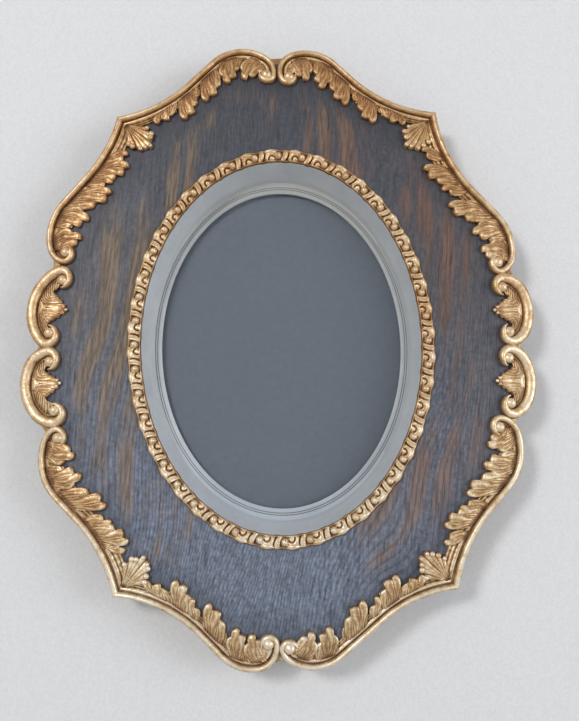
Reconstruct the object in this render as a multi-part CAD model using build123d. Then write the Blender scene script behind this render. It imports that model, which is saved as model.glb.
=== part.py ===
from build123d import *
from collections import namedtuple
from math import atan2, ceil, cos, degrees, hypot, pi, radians, sin, sqrt
import os

# An ornate gilded frame for the wall, with an oval opening.
# The front view is drawn in x (right) and y (up), with z as the height off the wall,
# and every piece is stood upright at the end: +Z up, front towards -Y, wall at Y = 0.
# The origin is the centre of the sight oval, on the wall.

# Driving dimensions, in millimetres
SIGHT_WIDTH = 152.4
SIGHT_HEIGHT = 203.2
LINER_WIDTH = 10.0
LINER_RISE = 14.4
ROPE_WIDTH = 8.0
CORNER_X = 103.3
CORNER_Y = 150.3
WALL_GAP = 4.5
EDGE_HEIGHT = 20.5
CROWN_RISE = 7.5

# Sheets in the rebate behind the liner, from the back: board, card, glass
BOARD_THICKNESS = 2.5
CARD_THICKNESS = 0.8
GLASS_THICKNESS = 2.0
LIP_THICKNESS = 2.0
REBATE_WIDTH = 5.2
SHEET_PLAY = 0.3

# Ovals, as half widths and half heights
SIGHT = (SIGHT_WIDTH / 2, SIGHT_HEIGHT / 2)
ROPE_INNER = (SIGHT[0] + LINER_WIDTH, SIGHT[1] + LINER_RISE)
ROPE_OUTER = (ROPE_INNER[0] + ROPE_WIDTH, ROPE_INNER[1] + ROPE_WIDTH)
ROPE_SEAT = 1.6
FIT_PLAY = 0.1

# Heights off the wall
BACK = WALL_GAP
BOARD_FRONT = BACK + BOARD_THICKNESS
CARD_FRONT = BOARD_FRONT + CARD_THICKNESS
GLASS_FRONT = CARD_FRONT + GLASS_THICKNESS
LIP_FRONT = GLASS_FRONT + LIP_THICKNESS
CROWN = EDGE_HEIGHT + CROWN_RISE

# Crown of the panel: it falls away as a square law from the rope to the carved edge,
# with ring positions as multiples of the rope's outer oval
EDGE_RING = 1.66
CROWN_RINGS = (1.0, 1.2, 1.4, 1.6, 1.85)

# Carved rails, shared by all scrolls: the profile goes from the outer edge inwards,
# as shares of the rail's width (across, up): outer slope, bead, groove, inner fillet
RAIL_WIDTH = 5.6
VOLUTE_WIDTH = 3.3
RAIL_PROFILE_SHARES = (
    (0.0, -0.5),
    (0.0, 0.1),
    (0.2, 0.46),
    (0.38, 0.62),
    (0.56, 0.58),
    (0.7, 0.38),
    (0.84, 0.44),
    (1.0, 0.26),
    (1.0, -0.5),
)
EYE_RADIUS = 3.6
EYE_RISE = 3.4
EYE_SIDES = 10
EYE_RING_SHARES = ((1.0, -0.6), (1.0, 0.35), (0.72, 0.82))
FACET_TURN = 19
FACET_LENGTH = 11.0
NOTCH_TURN = 84
INTO_CORNER = 225
BELLY_NOTCH_TURN = 52
PANEL_INSET = 0.5

# Radii of the moulds that the scrolls were cast from
LONG_RADII = (76.5, 27.0, 14.4, 5.6)
SHOULDER_RADII = (85.6, 34.2, 16.0, 6.5)
C_RADII = (31.2, 17.0, 7.5)

# The long scrolls at top and bottom, drawn as the right-hand top one:
# side, top or bottom, heading, concave sweep, straight run, crest sweeps, volute sweep
LONG_SCROLLS = {
    "top_left_scroll": ("left", "top", 173.9, 39, 21.8, 86, 62, 133),
    "top_right_scroll": ("right", "top", 178.6, 45, 15.8, 65, 100, 119),
    "bottom_left_scroll": ("left", "bottom", 176.9, 43, 17.9, 52, 94, 146),
    "bottom_right_scroll": ("right", "bottom", 177.7, 37, 32.8, 70, 34, 147),
}

# The shoulder scrolls beside the corners, drawn as the upper right one
SHOULDER_SCROLLS = {
    "upper_left_shoulder": ("left", "top", 282.1, 31, 20.0, 55, 50, 142),
    "upper_right_shoulder": ("right", "top", 273.5, 40, 20.1, 50, 54, 154),
    "lower_left_shoulder": ("left", "bottom", 280.7, 34, 18.8, 64, 33, 149),
    "lower_right_shoulder": ("right", "bottom", 279.1, 34, 19.0, 60, 57, 141),
}

# The C scrolls at the sides, drawn as right-hand ones:
# side, belly x and y, lean, sweeps upwards, sweeps downwards
C_SCROLLS = {
    "left_upper_c_scroll": ("left", 157.8, 27.1, 8, (51, 13, 157), (40, 18, 172)),
    "left_lower_c_scroll": ("left", 161.2, -21.6, 1, (22, 59, 144), (42, 53, 150)),
    "right_upper_c_scroll": ("right", 158.1, 19.3, 2, (26, 56, 138), (26, 41, 136)),
    "right_lower_c_scroll": ("right", 157.1, -26.4, -1, (26, 43, 137), (26, 42, 147)),
}

# Acanthus leaves: where the root and the tip stand along the rail (shares of its length
# before the volute), how far in the tip reaches and the half width, in millimetres
LONG_LEAVES = (
    (0.22, 0.13, 10.0, 3.4),
    (0.40, 0.26, 17.5, 5.6),
    (0.47, 0.34, 13.0, 3.4),
    (0.58, 0.41, 15.5, 4.6),
    (0.72, 0.56, 18.5, 5.6),
    (0.82, 0.70, 19.0, 5.0),
    (0.92, 0.86, 19.0, 4.0),
)
SHOULDER_LEAVES = (
    (0.18, 0.12, 9.0, 3.0),
    (0.33, 0.21, 17.5, 4.6),
    (0.42, 0.29, 17.5, 4.2),
    (0.60, 0.38, 19.5, 6.2),
    (0.73, 0.57, 20.5, 5.4),
    (0.86, 0.76, 20.5, 5.0),
)
LEAF_ROOT_IN = 4.2
LEAF_EDGE_RISE = 1.1
LEAF_PEAK_RISE = 2.9
LEAF_PEAK_SHARE = 0.42
LEAF_DEPTH = 3.0

# A leaf's toothed outline: along its length and across, as shares of length and half width
LEAF_SIDE_SHARES = (
    (0.0, 0.3),
    (0.38, 1.0),
    (0.48, 0.74),
    (0.7, 0.9),
    (0.76, 0.58),
    (0.92, 0.52),
)
LEAF_TIP_SHARES = (1.0, 0.0)

# The fan inside a C scroll, one half: in from the belly and along it, in millimetres
FAN_REACH = 25.0
FAN_HALF = 15.5
FAN_PEAK_SHARE = 0.33
FAN_SIDE_SHARES = (
    (0.14, 1.0),
    (0.34, 0.82),
    (0.48, 0.5),
    (0.6, 0.52),
    (0.66, 0.22),
    (0.8, 0.2),
)

# Corner palmettes: root inside the corner, fan of lobes towards the oval
PALMETTE_ROOT_IN = 6.6
PALMETTE_REACH = 23.0
PALMETTE_LOBES = 6
PALMETTE_SPREAD = 78
PALMETTE_NOTCH_SHARE = 0.86
PALMETTE_PEAK_SHARE = 0.5
PALMETTE_STEM_SHARE = 0.25

# Twisted rope round the liner, in four strips
ROPE_RISE = 4.0
ROPE_TWISTS = 11
ROPE_WAIST_SHARE = 0.86
ROPE_STRIPS = ("rope_upper_right", "rope_upper_left", "rope_lower_left", "rope_lower_right")
ROPE_PROFILE_SHARES = ((-0.5, 0.0), (-0.42, 0.55), (-0.12, 1.0), (0.22, 0.94), (0.46, 0.45), (0.5, 0.0))
ROPE_END_GAP = 0.15
ROPE_SKEW_SHARE = 0.3

# Cove of the liner, from the lip out to the rope: share of its width, share of its height
LINER_COVE_SHARES = ((0.22, 0.0), (0.42, 0.14), (0.66, 0.45), (1.0, 1.0))

# Fittings on the back
SCREW_SHANK = 1.4
SCREW_HEAD = 2.9
SCREW_HEAD_HEIGHT = 1.0
SCREW_HEAD_TAPER = 30
SCREW_LENGTH = 8.0
BUTTON_LENGTH = 30.0
BUTTON_WIDTH = 8.0
BUTTON_THICKNESS = 1.2
BUTTON_GAP = 0.25
BUTTON_PIVOT_OUT = 10.5
BUTTON_ANGLES = (45, 135, 225, 315)
STRAP_LENGTH = 30.0
STRAP_WIDTH = 10.0
STRAP_THICKNESS = 0.8
STRAP_X = 118.0
STRAP_TOP_Y = 72.0
STRAP_SCREWS_DOWN = (8.0, 22.0)
RING_WIRE = 0.9
RING_WIDTH = 17.0
RING_HEIGHT = 15.0
RING_CORNER = 3.0
PIN_PLAY = 0.2
PAD_RADIUS = 6.0
PAD_X = 76.0
PAD_Y = -146.0

Station = namedtuple("Station", "x y heading travelled turned")


def walk(start, heading, steps):
    """Stations along straights (length, 0) and tangent arcs (radius, sweep in degrees)."""
    x, y = start
    travelled = 0.0
    turned = 0.0
    stations = [Station(x, y, heading, travelled, turned)]
    for size, sweep in steps:
        length = size * abs(radians(sweep)) if sweep else size
        pieces = max(ceil(abs(sweep) / FACET_TURN), ceil(length / FACET_LENGTH))
        for _ in range(pieces):
            chord = 2 * size * sin(abs(radians(sweep)) / pieces / 2) if sweep else size / pieces
            along = radians(heading + sweep / pieces / 2)
            x += chord * cos(along)
            y += chord * sin(along)
            heading += sweep / pieces
            travelled += length / pieces
            turned += sweep / pieces
            stations.append(Station(x, y, heading, travelled, turned))
    return stations


def crown_height(x, y):
    """Height of the panel's front at a place in the front view."""
    ring = sqrt((x / ROPE_OUTER[0]) ** 2 + (y / ROPE_OUTER[1]) ** 2)
    out = max(ring - 1, 0) / (EDGE_RING - 1)
    return CROWN - CROWN_RISE * out**2


def crown_plane(x, y, along):
    """Plane lying on the crown at a place, with its x axis along a heading."""
    step = RAIL_WIDTH
    here = Vector(x, y, crown_height(x, y))
    right = Vector(step, 0, crown_height(x + step, y) - here.Z)
    up = Vector(0, step, crown_height(x, y + step) - here.Z)
    ahead = Vector(cos(radians(along)), sin(radians(along)), 0)
    return Plane(origin=here, x_dir=ahead, z_dir=right.cross(up))


def beside(station, side, distance):
    """Place at a distance to the left (side 1) or right (side -1) of a station."""
    normal = radians(station.heading + 90 * side)
    return station.x + distance * cos(normal), station.y + distance * sin(normal)


def rail_section(station, side, width, across=None, stretch=1.0):
    """The rail's profile at a station, standing on the crown and reaching inwards."""
    inwards = station.heading + 90 * side if across is None else across
    inward = Vector(cos(radians(inwards)), sin(radians(inwards)), 0)
    foot = Vector(station.x, station.y, crown_height(station.x, station.y))
    points = []
    for across_share, up_share in RAIL_PROFILE_SHARES:
        rise = Vector(0, 0, up_share * width)
        points.append(foot + inward * (across_share * width * stretch) + rise)
    return Face(Wire.make_polygon(points, close=True))


def rail(stations, side, volute_from, mitre=None):
    """Rail lofted along its stations; it narrows through the volute."""
    total = stations[-1].travelled - volute_from
    sections = []
    for number, station in enumerate(stations):
        into = max(station.travelled - volute_from, 0) / total
        width = RAIL_WIDTH + (VOLUTE_WIDTH - RAIL_WIDTH) * into
        if number == 0 and mitre is not None:
            turn = cos(radians(mitre - (station.heading + 90 * side)))
            sections.append(rail_section(station, side, width, mitre, 1 / turn))
        else:
            sections.append(rail_section(station, side, width))
    return loft(sections, ruled=True)


def ring_points(x, y, z, radius, sides):
    """Corners of a regular polygon round a place."""
    turns = [2 * pi * k / sides for k in range(sides)]
    return [Vector(x + radius * cos(a), y + radius * sin(a), z) for a in turns]


def eye(station, side):
    """Domed ball that ends a volute, flush with the rail's outer edge."""
    x, y = beside(station, side, EYE_RADIUS)
    foot = crown_height(x, y)
    rings = []
    for radius_share, height_share in EYE_RING_SHARES:
        points = ring_points(x, y, foot + height_share * EYE_RISE, radius_share * EYE_RADIUS, EYE_SIDES)
        rings.append(Face(Wire.make_polygon(points, close=True)))
    return loft(rings + [Vertex(x, y, foot + EYE_RISE)], ruled=True)


def carved(plane, outline, peak):
    """Carved relief on a plane: a rim that follows the outline, rising to one peak."""
    faces = []
    for height in (-LEAF_DEPTH, LEAF_EDGE_RISE):
        points = [plane.from_local_coords((u, v, height)) for u, v in outline]
        faces.append(Face(Wire.make_polygon(points, close=True)))
    top = plane.from_local_coords((peak[0], peak[1], LEAF_PEAK_RISE))
    return loft(faces + [Vertex(*top)], ruled=True)


def leaf(root, tip, half_width):
    """One acanthus leaf from its root to its tip."""
    length = hypot(tip[0] - root[0], tip[1] - root[1])
    along = degrees(atan2(tip[1] - root[1], tip[0] - root[0]))
    plane = crown_plane((root[0] + tip[0]) / 2, (root[1] + tip[1]) / 2, along)
    right = [((u - 0.5) * length, v * half_width) for u, v in LEAF_SIDE_SHARES]
    left = [(u, -v) for u, v in reversed(right)]
    point = ((LEAF_TIP_SHARES[0] - 0.5) * length, LEAF_TIP_SHARES[1] * half_width)
    return carved(plane, right + [point] + left, ((LEAF_PEAK_SHARE - 0.5) * length, 0))


def at_share(stations, total, share):
    """Station at a share of the rail's length, between two neighbours."""
    goal = total * share
    for before, after in zip(stations, stations[1:]):
        if after.travelled >= goal:
            part = (goal - before.travelled) / (after.travelled - before.travelled)
            mixed = [a + (b - a) * part for a, b in zip(before, after)]
            return Station(*mixed)
    return stations[-1]


def leaves(stations, side, total, table):
    """All leaves of a scroll, leaning from their roots back towards the corner."""
    made = []
    for root_share, tip_share, reach, half_width in table:
        root = beside(at_share(stations, total, root_share), side, LEAF_ROOT_IN)
        tip = beside(at_share(stations, total, tip_share), side, reach)
        made.append(leaf(root, tip, half_width))
    return made


def crown_body():
    """Solid whose top is the panel's crowned front, wider than the panel."""
    wide = CROWN_RINGS[-1]
    rings = [oval(ROPE_OUTER, wide, 0)]
    for ring in reversed(CROWN_RINGS):
        rings.append(oval(ROPE_OUTER, ring, crown_height(ring * ROPE_OUTER[0], 0)))
    return loft(rings, ruled=True)


def oval(half_axes, share, height):
    """Face of an oval at a height."""
    return Pos(0, 0, height) * Face(Wire.make_ellipse(half_axes[0] * share, half_axes[1] * share))


def oval_disc(half_axes, grown, bottom, top):
    """Flat oval sheet between two heights, grown all round by a small amount."""
    face = Face(Wire.make_ellipse(half_axes[0] + grown, half_axes[1] + grown))
    return Pos(0, 0, bottom) * extrude(face, top - bottom)


def mirrored(shape, side, half="top"):
    """The right-hand top piece, mirrored to the side and half where it belongs."""
    if side == "left":
        shape = mirror(shape, about=Plane.YZ)
    if half == "bottom":
        shape = mirror(shape, about=Plane.XZ)
    return shape


def long_stations(heading, concave, run, crest, shoulder, volute):
    """Outer edge of a long scroll, from the corner to the end of its volute."""
    big, broad, tight, curl = LONG_RADII
    steps = ((big, -concave), (run, 0), (broad, crest), (tight, shoulder), (curl, volute))
    return walk((CORNER_X, CORNER_Y), heading, steps)


def shoulder_stations(heading, concave, run, crest, shoulder, volute):
    """Outer edge of a shoulder scroll, from the corner to the end of its volute."""
    big, broad, tight, curl = SHOULDER_RADII
    steps = ((big, concave), (run, 0), (broad, -crest), (tight, -shoulder), (curl, -volute))
    return walk((CORNER_X, CORNER_Y), heading, steps)


def volute_start(stations, volute, curl):
    """Length travelled where the volute starts."""
    return stations[-1].travelled - curl * radians(volute)


def corner_scroll(stations, side, volute_from, table, crown):
    """A scroll that starts at a corner: rail, eye and leaves in one casting."""
    body = rail(stations, side, volute_from, INTO_CORNER)
    extras = leaves(stations, side, volute_from, table)
    return body.fuse(eye(stations[-1], side), *extras) - crown


def c_stations(x, y, lean, sweeps, side):
    """One arm of a C scroll, from its belly up (side 1) or down (side -1)."""
    steps = [(radius, side * sweep) for radius, sweep in zip(C_RADII, sweeps)]
    return walk((x, y), side * 90 + lean, steps)


def fan(x, y, lean):
    """Leaf fan that fills a C scroll, with one long tip in the middle."""
    plane = crown_plane(x - FAN_REACH / 2, y, 180 + lean)
    lower = [((u - 0.5) * FAN_REACH, v * FAN_HALF) for u, v in FAN_SIDE_SHARES]
    upper = [(u, -v) for u, v in reversed(lower)]
    return carved(plane, lower + [(FAN_REACH / 2, 0)] + upper, ((FAN_PEAK_SHARE - 0.5) * FAN_REACH, 0))


def c_scroll(x, y, lean, up, down, crown):
    """A C scroll: two arms from the belly, two eyes and the fan between."""
    upper = c_stations(x, y, lean, up, 1)
    lower = c_stations(x, y, lean, down, -1)
    upper_rail = rail(upper, 1, volute_start(upper, up[-1], C_RADII[-1]))
    lower_rail = rail(lower, -1, volute_start(lower, down[-1], C_RADII[-1]))
    eyes = eye(upper[-1], 1), eye(lower[-1], -1)
    return upper_rail.fuse(lower_rail, *eyes, fan(x, y, lean)) - crown


def palmette(crown):
    """Shell-like fan in a corner, drawn for the upper right one."""
    root_x = CORNER_X - PALMETTE_ROOT_IN
    root_y = CORNER_Y - PALMETTE_ROOT_IN
    middle_x = root_x + PALMETTE_REACH * cos(radians(INTO_CORNER)) / 2
    middle_y = root_y + PALMETTE_REACH * sin(radians(INTO_CORNER)) / 2
    plane = crown_plane(middle_x, middle_y, INTO_CORNER)
    start = -PALMETTE_REACH / 2
    stem = RAIL_WIDTH * PALMETTE_STEM_SHARE
    outline = [(start, -stem)]
    step = PALMETTE_SPREAD / PALMETTE_LOBES
    for k in range(2 * PALMETTE_LOBES + 1):
        angle = radians(-PALMETTE_SPREAD / 2 + step * k / 2)
        reach = PALMETTE_REACH * (1 if k % 2 else PALMETTE_NOTCH_SHARE)
        outline.append((start + reach * cos(angle), reach * sin(angle)))
    outline.append((start, stem))
    return carved(plane, outline, (start + PALMETTE_REACH * PALMETTE_PEAK_SHARE, 0)) - crown


def outline_points(stations, side, notch):
    """Points of the panel's edge just inside a rail, as far as the notch beside it."""
    turns = [station.turned * side for station in stations]
    low = min(turns)
    points = []
    for station, turn in zip(stations, turns):
        past = turns.index(low) < stations.index(station)
        if past and turn - low > notch:
            break
        points.append(beside(station, side, PANEL_INSET))
    return points


def flipped(points, side, half="top"):
    """Front-view points mirrored to a side and half."""
    sign_x = -1 if side == "left" else 1
    sign_y = -1 if half == "bottom" else 1
    return [(sign_x * x, sign_y * y) for x, y in points]


def rail_outline(name):
    """Panel edge under the named scroll, in its own place and in drawing order."""
    if name in LONG_SCROLLS:
        side, half, *numbers = LONG_SCROLLS[name]
        return flipped(outline_points(long_stations(*numbers), 1, NOTCH_TURN), side, half)
    if name in SHOULDER_SCROLLS:
        side, half, *numbers = SHOULDER_SCROLLS[name]
        return flipped(outline_points(shoulder_stations(*numbers), -1, NOTCH_TURN), side, half)
    side, x, y, lean, up, down = C_SCROLLS[name]
    upper = outline_points(c_stations(x, y, lean, up, 1), 1, BELLY_NOTCH_TURN)
    lower = outline_points(c_stations(x, y, lean, down, -1), -1, BELLY_NOTCH_TURN)
    return flipped(upper[:0:-1] + lower, side)


def panel_outline():
    """The whole edge of the panel, anticlockwise from the upper right corner."""
    points = rail_outline("top_right_scroll")
    points += reversed(rail_outline("top_left_scroll"))
    points += rail_outline("upper_left_shoulder")[1:]
    points += rail_outline("left_upper_c_scroll")
    points += rail_outline("left_lower_c_scroll")
    points += reversed(rail_outline("lower_left_shoulder"))
    points += rail_outline("bottom_left_scroll")[1:]
    points += reversed(rail_outline("bottom_right_scroll"))
    points += rail_outline("lower_right_shoulder")[1:]
    points += reversed(rail_outline("right_lower_c_scroll"))
    points += reversed(rail_outline("right_upper_c_scroll"))
    points += list(reversed(rail_outline("upper_right_shoulder")))[:-1]
    return [Vector(x, y, 0) for x, y in points]


def strap_screws(side):
    """Places of the two screws of a hanger strap."""
    return [(side * STRAP_X, STRAP_TOP_Y - down) for down in STRAP_SCREWS_DOWN]


def screw_places():
    """Pivots of the turn buttons, then the screws of the hanger straps."""
    return [button_pivot(angle) for angle in BUTTON_ANGLES], strap_screws(-1) + strap_screws(1)


def button_pivot(angle):
    """Place of a turn button's pivot, just outside the rebate."""
    out = REBATE_WIDTH + BUTTON_PIVOT_OUT
    return (SIGHT[0] + out) * cos(radians(angle)), (SIGHT[1] + out) * sin(radians(angle))


def panel(crown):
    """The wooden panel: crowned front, scrolled edge, liner seat and rebate."""
    edge = Face(Wire.make_polygon(panel_outline(), close=True))
    blank = (Pos(0, 0, BACK) * extrude(edge, CROWN)) & crown
    seat = oval_disc(ROPE_INNER, ROPE_SEAT + FIT_PLAY, GLASS_FRONT, CROWN + LIP_THICKNESS)
    rebate = oval_disc(SIGHT, REBATE_WIDTH, BACK, GLASS_FRONT)
    pivots, straps = screw_places()
    hole = extrude(Face(Wire.make_circle(SCREW_SHANK)), SCREW_LENGTH)
    holes = [Pos(x, y, BACK) * hole for x, y in pivots + straps]
    return blank - seat - rebate - holes


def liner():
    """Silver liner: a lip round the sight oval and a cove that rises to the rope."""
    body = oval_disc(ROPE_INNER, ROPE_SEAT, GLASS_FRONT, CROWN)
    sight = oval_disc(SIGHT, 0, GLASS_FRONT, CROWN)
    rings = []
    for width_share, height_share in LINER_COVE_SHARES:
        half_x = SIGHT[0] + width_share * LINER_WIDTH
        half_y = SIGHT[1] + width_share * LINER_RISE
        rings.append(oval((half_x, half_y), 1, LIP_FRONT + height_share * (CROWN - LIP_FRONT)))
    return body - sight - loft(rings, ruled=True)


def rope_strip(quarter):
    """A quarter of the twisted rope, carved as leaning bellies and waists."""
    middle = (ROPE_INNER[0] + ROPE_WIDTH / 2, ROPE_INNER[1] + ROPE_WIDTH / 2)
    gap = degrees(ROPE_END_GAP / middle[0])
    span = 90 - 2 * gap
    count = 2 * ROPE_TWISTS
    sections = []
    for k in range(count + 1):
        angle = radians(90 * quarter + gap + span * k / count)
        swell = 1 if k % 2 else ROPE_WAIST_SHARE
        lean = 0 if k in (0, count) else radians(span / count) * ROPE_SKEW_SHARE
        points = []
        for across, up in ROPE_PROFILE_SHARES:
            turn = angle + lean * across * 2
            half_x = middle[0] + across * ROPE_WIDTH * swell
            half_y = middle[1] + across * ROPE_WIDTH * swell
            points.append(Vector(half_x * cos(turn), half_y * sin(turn), CROWN + up * ROPE_RISE * swell))
        sections.append(Wire.make_polygon(points, close=True))
    return Solid.make_loft(sections, ruled=True)


def screw(x, y, seat):
    """Round-headed wood screw, its head outside what it holds down."""
    shank = extrude(Circle(SCREW_SHANK - FIT_PLAY / 2), SCREW_LENGTH)
    head = extrude(Circle(SCREW_HEAD), SCREW_HEAD_HEIGHT, taper=SCREW_HEAD_TAPER)
    return Pos(x, y, seat) * shank.fuse(mirror(head, about=Plane.XY))


def back_screws():
    """All eight screws: four pivots and two in each strap."""
    pivots, straps = screw_places()
    over_button = BACK - BUTTON_GAP - BUTTON_THICKNESS - PIN_PLAY
    made = [screw(x, y, over_button) for x, y in pivots]
    made += [screw(x, y, BACK - STRAP_THICKNESS) for x, y in straps]
    return Compound(children=made)


def turn_button(angle):
    """Brass turn button over the edge of the backing board, free on its screw."""
    x, y = button_pivot(angle)
    plate = SlotOverall(BUTTON_LENGTH, BUTTON_WIDTH) - Circle(SCREW_SHANK + PIN_PLAY)
    body = extrude(plate, BUTTON_THICKNESS)
    return Pos(x, y, BACK - BUTTON_GAP - BUTTON_THICKNESS) * (Rot(0, 0, angle) * body)


def hanger_strap(side):
    """Strap of a hanger: a plate that curls round the ring's bar at its top."""
    bore = RING_WIRE + PIN_PLAY
    curl = bore + STRAP_THICKNESS
    profile = Pos(0, BACK - curl) * Circle(curl)
    profile += Pos(-STRAP_LENGTH / 2, BACK - STRAP_THICKNESS / 2) * Rectangle(STRAP_LENGTH, STRAP_THICKNESS)
    profile -= Pos(0, BACK - curl) * Circle(bore)
    body = extrude(Plane.YZ * profile, STRAP_WIDTH / 2, both=True)
    body = Pos(side * STRAP_X, STRAP_TOP_Y, 0) * body
    holes = [Pos(x, y, 0) * extrude(Circle(SCREW_SHANK + FIT_PLAY), CROWN) for x, y in strap_screws(side)]
    return body - holes


def hanger_ring(side):
    """Wire ring of a hanger, standing up flat behind the panel."""
    loop = Pos(0, RING_HEIGHT / 2) * RectangleRounded(RING_WIDTH, RING_HEIGHT, RING_CORNER)
    path = loop.wire()
    section = Plane(origin=path @ 0, z_dir=path % 0) * Circle(RING_WIRE)
    axis_height = BACK - RING_WIRE - PIN_PLAY - STRAP_THICKNESS
    return Pos(side * STRAP_X, STRAP_TOP_Y, axis_height) * sweep(section, path)


def wall_pads():
    """Felt pads under the lower corners, on the wall."""
    pad = extrude(Circle(PAD_RADIUS), WALL_GAP)
    return Compound(children=[Pos(side * PAD_X, PAD_Y, 0) * pad for side in (-1, 1)])


def main():
    """Build every piece and write it as its own file."""
    crown = crown_body()
    pieces = {"panel": panel(crown), "liner": liner()}
    pieces["glass"] = oval_disc(SIGHT, REBATE_WIDTH - SHEET_PLAY, CARD_FRONT, GLASS_FRONT)
    pieces["picture_card"] = oval_disc(SIGHT, REBATE_WIDTH - SHEET_PLAY, BOARD_FRONT, CARD_FRONT)
    pieces["backing_board"] = oval_disc(SIGHT, REBATE_WIDTH - SHEET_PLAY, BACK, BOARD_FRONT)
    for name, (side, half, *numbers) in LONG_SCROLLS.items():
        stations = long_stations(*numbers)
        start = volute_start(stations, numbers[-1], LONG_RADII[-1])
        pieces[name] = mirrored(corner_scroll(stations, 1, start, LONG_LEAVES, crown), side, half)
    for name, (side, half, *numbers) in SHOULDER_SCROLLS.items():
        stations = shoulder_stations(*numbers)
        start = volute_start(stations, numbers[-1], SHOULDER_RADII[-1])
        pieces[name] = mirrored(corner_scroll(stations, -1, start, SHOULDER_LEAVES, crown), side, half)
    for name, (side, *numbers) in C_SCROLLS.items():
        pieces[name] = mirrored(c_scroll(*numbers, crown), side)
    for half in ("top", "bottom"):
        for side in ("left", "right"):
            pieces[f"{half}_{side}_palmette"] = mirrored(palmette(crown), side, half)
    for quarter, name in enumerate(ROPE_STRIPS):
        pieces[name] = rope_strip(quarter)
    for number, angle in enumerate(BUTTON_ANGLES):
        pieces[f"turn_button_{number + 1}"] = turn_button(angle)
    for side, sign in (("left", -1), ("right", 1)):
        pieces[f"{side}_hanger_strap"] = hanger_strap(sign)
        pieces[f"{side}_hanger_ring"] = hanger_ring(sign)
    pieces["back_screws"] = back_screws()
    pieces["wall_pads"] = wall_pads()
    os.makedirs("parts", exist_ok=True)
    for name, shape in pieces.items():
        export_step(Rot(90, 0, 0) * shape, f"parts/{name}.step")


if __name__ == "__main__":
    main()
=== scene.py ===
from math import ceil, comb, cos, pi, radians, sin, tan
import bpy
import numpy as np
from mathutils import Matrix, Vector


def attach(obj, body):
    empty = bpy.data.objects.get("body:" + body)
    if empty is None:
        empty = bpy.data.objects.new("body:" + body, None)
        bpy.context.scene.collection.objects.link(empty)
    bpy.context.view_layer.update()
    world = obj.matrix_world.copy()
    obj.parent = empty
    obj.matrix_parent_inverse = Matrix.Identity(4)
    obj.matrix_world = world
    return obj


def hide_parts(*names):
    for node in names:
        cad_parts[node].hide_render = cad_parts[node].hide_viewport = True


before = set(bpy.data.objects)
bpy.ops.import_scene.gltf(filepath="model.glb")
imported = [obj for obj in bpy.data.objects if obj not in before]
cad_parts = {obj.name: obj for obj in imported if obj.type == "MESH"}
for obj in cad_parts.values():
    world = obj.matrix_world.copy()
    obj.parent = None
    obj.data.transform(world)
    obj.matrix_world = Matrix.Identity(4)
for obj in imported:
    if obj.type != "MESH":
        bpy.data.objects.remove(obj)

# An ornate gilded frame for the wall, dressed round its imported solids.
# Places are given in the front view, in millimetres: x right, y up, z off the wall.

MM = 0.001

# Ovals, as half widths and half heights
SIGHT = np.array((76.2, 101.6))
LINER_WIDTH = 10.0
LINER_RISE = 14.4
ROPE_WIDTH = 8.0
ROPE_INNER = SIGHT + (LINER_WIDTH, LINER_RISE)
ROPE_OUTER = ROPE_INNER + ROPE_WIDTH
ROPE_MIDDLE = (ROPE_INNER + ROPE_OUTER) / 2
LINER_FLANGE = 1.6
SEAT_PLAY = 0.1
REBATE_WIDTH = 5.2

# Heights off the wall
BACK = 4.5
GLASS_FRONT = 9.8
LIP_FRONT = 11.8
CROWN = 28.0
CROWN_RISE = 7.5
EDGE_RING = 1.66

# The panel: rings of points across its front, its gilded edge and its rounded corners
BOARD_RINGS = 26
EDGE_BAND = 4.6
EDGE_ROUND = 0.5
BACK_ROUND = 0.9
SAME_TURN = 1e-5
PANEL_INSET = 0.5
NOTCH_TURN = 84
BELLY_NOTCH_TURN = 52

# Rails of the scrolls
CORNER = (103.3, 150.3)
INTO_CORNER = 225
RAIL_WIDTH = 6.4
RAIL_OUT = 0.4
VOLUTE_WIDTH = 3.7
CURL_WIDTH = 1.4
CURL_SWEEP = 55
EYE_RADIUS = 4.9
BALL = 3.5
C_WIDTH = 7.2
C_SWELL = 1.3
C_EYE_RADIUS = 5.4
C_BALL = 3.4
SPACING = 0.6
LONG_RADII = (76.5, 27.0, 14.4, 5.6)
SHOULDER_RADII = (85.6, 34.2, 16.0, 6.5)
C_RADII = (31.2, 17.0, 7.5)

# side (-1 left), half (-1 bottom), heading, concave sweep, straight run, crest, shoulder and
# volute sweeps
LONG_SCROLLS = {
    "top_left_scroll": (-1, 1, 173.9, 39, 21.8, 86, 62, 133),
    "top_right_scroll": (1, 1, 178.6, 45, 15.8, 65, 100, 119),
    "bottom_left_scroll": (-1, -1, 176.9, 43, 17.9, 52, 94, 146),
    "bottom_right_scroll": (1, -1, 177.7, 37, 32.8, 70, 34, 147),
}
SHOULDER_SCROLLS = {
    "upper_left_shoulder": (-1, 1, 282.1, 31, 20.0, 55, 50, 142),
    "upper_right_shoulder": (1, 1, 273.5, 40, 20.1, 50, 54, 154),
    "lower_left_shoulder": (-1, -1, 280.7, 34, 18.8, 64, 33, 149),
    "lower_right_shoulder": (1, -1, 279.1, 34, 19.0, 60, 57, 141),
}
# side, belly x and y, lean, sweeps upwards, sweeps downwards
C_SCROLLS = {
    "left_upper_c_scroll": (-1, 157.8, 27.1, 8, (51, 13, 157), (40, 18, 172)),
    "left_lower_c_scroll": (-1, 161.2, -21.6, 1, (22, 59, 144), (42, 53, 150)),
    "right_upper_c_scroll": (1, 158.1, 19.3, 2, (26, 56, 138), (26, 41, 136)),
    "right_lower_c_scroll": (1, 157.1, -26.4, -1, (26, 43, 137), (26, 42, 147)),
}

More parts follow.
